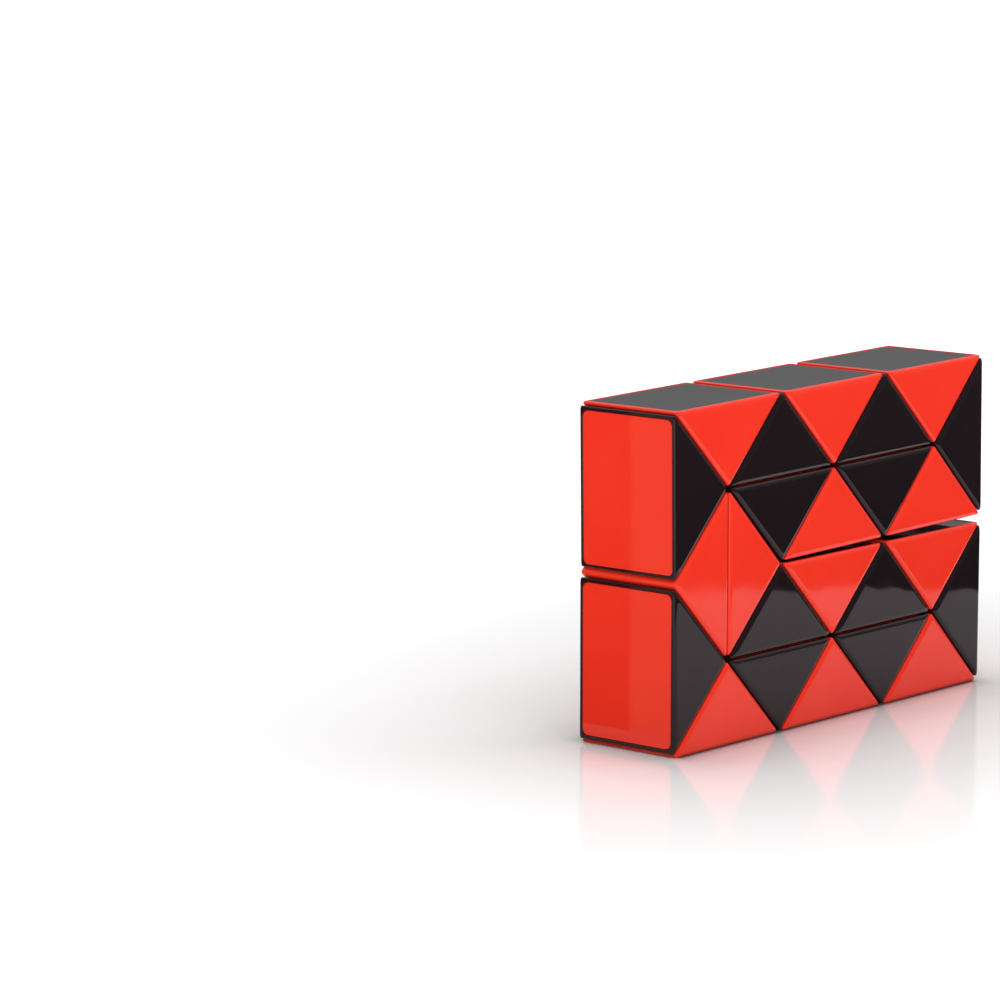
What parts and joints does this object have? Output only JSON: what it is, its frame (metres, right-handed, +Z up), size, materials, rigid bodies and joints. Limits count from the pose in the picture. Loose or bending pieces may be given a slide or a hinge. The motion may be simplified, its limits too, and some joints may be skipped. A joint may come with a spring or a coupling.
{
  "type": "twisty snake puzzle",
  "caption": "Twisty snake puzzle of alternating red and black wedges on sprung swivel joints, folded into a flat rectangular block.",
  "frame": {"origin": "middle of the underside of the folded block, where it rests", "axes": "+X along the block's length, +Y through its thickness away from the front, +Z up"},
  "size_m": [0.0849, 0.02, 0.0572],
  "materials": {
    "red_shell": "glossy moulded plastic, vivid red",
    "black_shell": "glossy moulded plastic, near black",
    "red_panel": "glossy moulded plastic, vivid red",
    "black_panel": "glossy moulded plastic, near black",
    "steel": "zinc-plated steel"
  },
  "bodies": {
    "wedge_01": {"wedge_01_shell": "black_shell", "wedge_01_panel": "red_panel", "wedge_01_fixings": "steel"},
    "wedge_02": {"wedge_02_shell": "red_shell", "wedge_02_panel": "black_panel"},
    "wedge_03": {"wedge_03_shell": "black_shell", "wedge_03_panel": "red_panel", "wedge_03_fixings": "steel"},
    "wedge_04": {"wedge_04_shell": "red_shell", "wedge_04_panel": "black_panel"},
    "wedge_05": {"wedge_05_shell": "black_shell", "wedge_05_panel": "red_panel", "wedge_05_fixings": "steel"},
    "wedge_06": {"wedge_06_shell": "red_shell", "wedge_06_panel": "black_panel"},
    "wedge_07": {"wedge_07_shell": "black_shell", "wedge_07_panel": "red_panel", "wedge_07_fixings": "steel"},
    "wedge_08": {"wedge_08_shell": "red_shell", "wedge_08_panel": "black_panel"},
    "wedge_09": {"wedge_09_shell": "black_shell", "wedge_09_panel": "red_panel", "wedge_09_fixings": "steel"},
    "wedge_10": {"wedge_10_shell": "red_shell", "wedge_10_panel": "black_panel"},
    "wedge_11": {"wedge_11_shell": "black_shell", "wedge_11_panel": "red_panel", "wedge_11_fixings": "steel"},
    "wedge_12": {"wedge_12_shell": "red_shell", "wedge_12_panel": "black_panel"},
    "wedge_13": {"wedge_13_shell": "black_shell", "wedge_13_panel": "red_panel", "wedge_13_fixings": "steel"},
    "wedge_14": {"wedge_14_shell": "red_shell", "wedge_14_panel": "black_panel"},
    "wedge_15": {"wedge_15_shell": "black_shell", "wedge_15_panel": "red_panel", "wedge_15_fixings": "steel"},
    "wedge_16": {"wedge_16_shell": "red_shell", "wedge_16_panel": "black_panel"},
    "wedge_17": {"wedge_17_shell": "black_shell", "wedge_17_panel": "red_panel", "wedge_17_fixings": "steel"},
    "wedge_18": {"wedge_18_shell": "red_shell", "wedge_18_panel": "black_panel"},
    "wedge_19": {"wedge_19_shell": "black_shell", "wedge_19_panel": "red_panel", "wedge_19_fixings": "steel"},
    "wedge_20": {"wedge_20_shell": "red_shell", "wedge_20_panel": "black_panel"},
    "wedge_21": {"wedge_21_shell": "black_shell", "wedge_21_panel": "red_panel", "wedge_21_fixings": "steel"},
    "wedge_22": {"wedge_22_shell": "red_shell", "wedge_22_panel": "black_panel"},
    "wedge_23": {"wedge_23_shell": "black_shell", "wedge_23_panel": "red_panel", "wedge_23_fixings": "steel"},
    "wedge_24": {"wedge_24_shell": "red_shell", "wedge_24_panel": "black_panel"}
  },
  "joints": [
    {"name": "twist_01", "type": "hinge", "parent": "wedge_02", "child": "wedge_01", "pos_m": [-0.03545, 0, 0.04925], "axis": [0.6972, 0, 0.7169], "range_deg": [-1, 1]},
    {"name": "twist_02", "type": "hinge", "parent": "wedge_03", "child": "wedge_02", "pos_m": [-0.02131, 0, 0.04945], "axis": [-0.7169, 0, 0.6972], "continuous": true},
    {"name": "twist_03", "type": "hinge", "parent": "wedge_04", "child": "wedge_03", "pos_m": [-0.00717, 0, 0.04964], "axis": [-0.6972, 0, -0.7169], "range_deg": [-1, 1]},
    {"name": "twist_04", "type": "hinge", "parent": "wedge_05", "child": "wedge_04", "pos_m": [0.00697, 0, 0.04984], "axis": [-0.7169, 0, 0.6972], "range_deg": [-1, 1]},
    {"name": "twist_05", "type": "hinge", "parent": "wedge_06", "child": "wedge_05", "pos_m": [0.02111, 0, 0.05004], "axis": [-0.6972, 0, -0.7169], "range_deg": [-1, 1]},
    {"name": "twist_06", "type": "hinge", "parent": "wedge_07", "child": "wedge_06", "pos_m": [0.03525, 0, 0.05024], "axis": [0.7169, 0, -0.6972], "range_deg": [-1, 1]},
    {"name": "twist_07", "type": "hinge", "parent": "wedge_08", "child": "wedge_07", "pos_m": [0.03545, 0, 0.03609], "axis": [-0.6972, 0, -0.7169], "range_deg": [-1, 1]},
    {"name": "twist_08", "type": "hinge", "parent": "wedge_09", "child": "wedge_08", "pos_m": [0.02131, 0, 0.0359], "axis": [0.7169, 0, -0.6972], "range_deg": [-1, 1]},
    {"name": "twist_09", "type": "hinge", "parent": "wedge_10", "child": "wedge_09", "pos_m": [0.00717, 0, 0.0357], "axis": [0.6972, 0, 0.7169], "range_deg": [-1, 1]},
    {"name": "twist_10", "type": "hinge", "parent": "wedge_11", "child": "wedge_10", "pos_m": [-0.00697, 0, 0.0355], "axis": [0.7169, 0, -0.6972], "range_deg": [-1, 1]},
    {"name": "twist_11", "type": "hinge", "parent": "wedge_12", "child": "wedge_11", "pos_m": [-0.02112, 0, 0.0353], "axis": [0.6972, 0, 0.7169], "range_deg": [-1, 1]},
    {"name": "twist_12", "type": "hinge", "parent": "wedge_12", "child": "wedge_13", "pos_m": [-0.02121, 0, 0.02106], "axis": [0.7071, 0, -0.7071], "range_deg": [-1, 1]},
    {"name": "twist_13", "type": "hinge", "parent": "wedge_13", "child": "wedge_14", "pos_m": [-0.00707, 0, 0.02106], "axis": [0.7071, 0, 0.7071], "range_deg": [-1, 1]},
    {"name": "twist_14", "type": "hinge", "parent": "wedge_14", "child": "wedge_15", "pos_m": [0.00707, 0, 0.02106], "axis": [0.7071, 0, -0.7071], "range_deg": [-1, 1]},
    {"name": "twist_15", "type": "hinge", "parent": "wedge_15", "child": "wedge_16", "pos_m": [0.02121, 0, 0.02106], "axis": [0.7071, 0, 0.7071], "range_deg": [-1, 1]},
    {"name": "twist_16", "type": "hinge", "parent": "wedge_16", "child": "wedge_17", "pos_m": [0.03536, 0, 0.02106], "axis": [0.7071, 0, -0.7071], "range_deg": [-1, 1]},
    {"name": "twist_17", "type": "hinge", "parent": "wedge_17", "child": "wedge_18", "pos_m": [0.03536, 0, 0.00692], "axis": [-0.7071, 0, -0.7071], "range_deg": [-1, 1]},
    {"name": "twist_18", "type": "hinge", "parent": "wedge_18", "child": "wedge_19", "pos_m": [0.02121, 0, 0.00692], "axis": [-0.7071, 0, 0.7071], "range_deg": [-1, 1]},
    {"name": "twist_19", "type": "hinge", "parent": "wedge_19", "child": "wedge_20", "pos_m": [0.00707, 0, 0.00692], "axis": [-0.7071, 0, -0.7071], "range_deg": [-1, 1]},
    {"name": "twist_20", "type": "hinge", "parent": "wedge_20", "child": "wedge_21", "pos_m": [-0.00707, 0, 0.00692], "axis": [-0.7071, 0, 0.7071], "range_deg": [-1, 1]},
    {"name": "twist_21", "type": "hinge", "parent": "wedge_21", "child": "wedge_22", "pos_m": [-0.02121, 0, 0.00692], "axis": [0.7071, 0, 0.7071], "range_deg": [-1, 1]},
    {"name": "twist_22", "type": "hinge", "parent": "wedge_22", "child": "wedge_23", "pos_m": [-0.03536, 0, 0.00692], "axis": [-0.7071, 0, 0.7071], "range_deg": [-1, 1]},
    {"name": "twist_23", "type": "hinge", "parent": "wedge_23", "child": "wedge_24", "pos_m": [-0.03536, 0, 0.02106], "axis": [-0.7071, 0, -0.7071], "range_deg": [-1, 1]}
  ]
}
